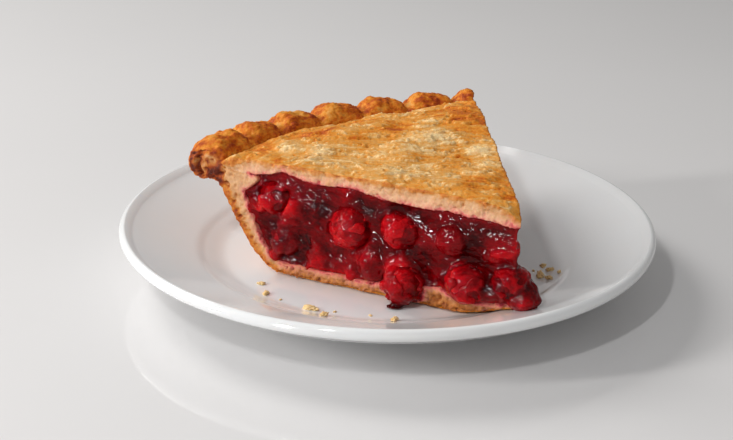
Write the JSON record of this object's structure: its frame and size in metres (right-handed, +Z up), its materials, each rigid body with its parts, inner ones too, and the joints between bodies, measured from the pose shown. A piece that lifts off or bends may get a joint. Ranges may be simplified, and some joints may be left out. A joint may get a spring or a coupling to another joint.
{
  "type": "slice of cherry pie on a plate",
  "caption": "Slice of double-crust cherry pie with a fluted rim and a glossy fruit filling, standing on a round white dessert plate.",
  "frame": {"origin": "centre of the plate's foot ring, on the surface that the plate stands on", "axes": "+Z up out of the plate; +Y towards the fluted rim of the slice, away from its tip"},
  "size_m": [0.203, 0.203, 0.0564],
  "materials": {
    "porcelain": "smooth white glaze, glossy",
    "crust": "baked shortcrust: golden to deep brown outside, pale and crumbly where cut",
    "lid": "baked flaky lid: pale gold with browned patches and blisters, pale dough where cut",
    "filling": "wet glossy dark red fruit gel",
    "cherry": "wet glossy bright red fruit"
  },
  "bodies": {
    "root": {"plate": "porcelain", "bottom_crust": "crust", "lid": "lid", "filling": "filling", "cherry_near_1": "cherry", "cherry_near_2": "cherry", "cherry_near_3": "cherry", "cherry_near_4": "cherry", "cherry_near_5": "cherry", "cherry_near_6": "cherry", "cherry_near_7": "cherry", "cherry_near_8": "cherry", "cherry_far_1": "cherry", "cherry_far_2": "cherry", "cherry_far_3": "cherry", "cherry_far_4": "cherry", "cherry_tip": "cherry"}
  },
  "joints": []
}
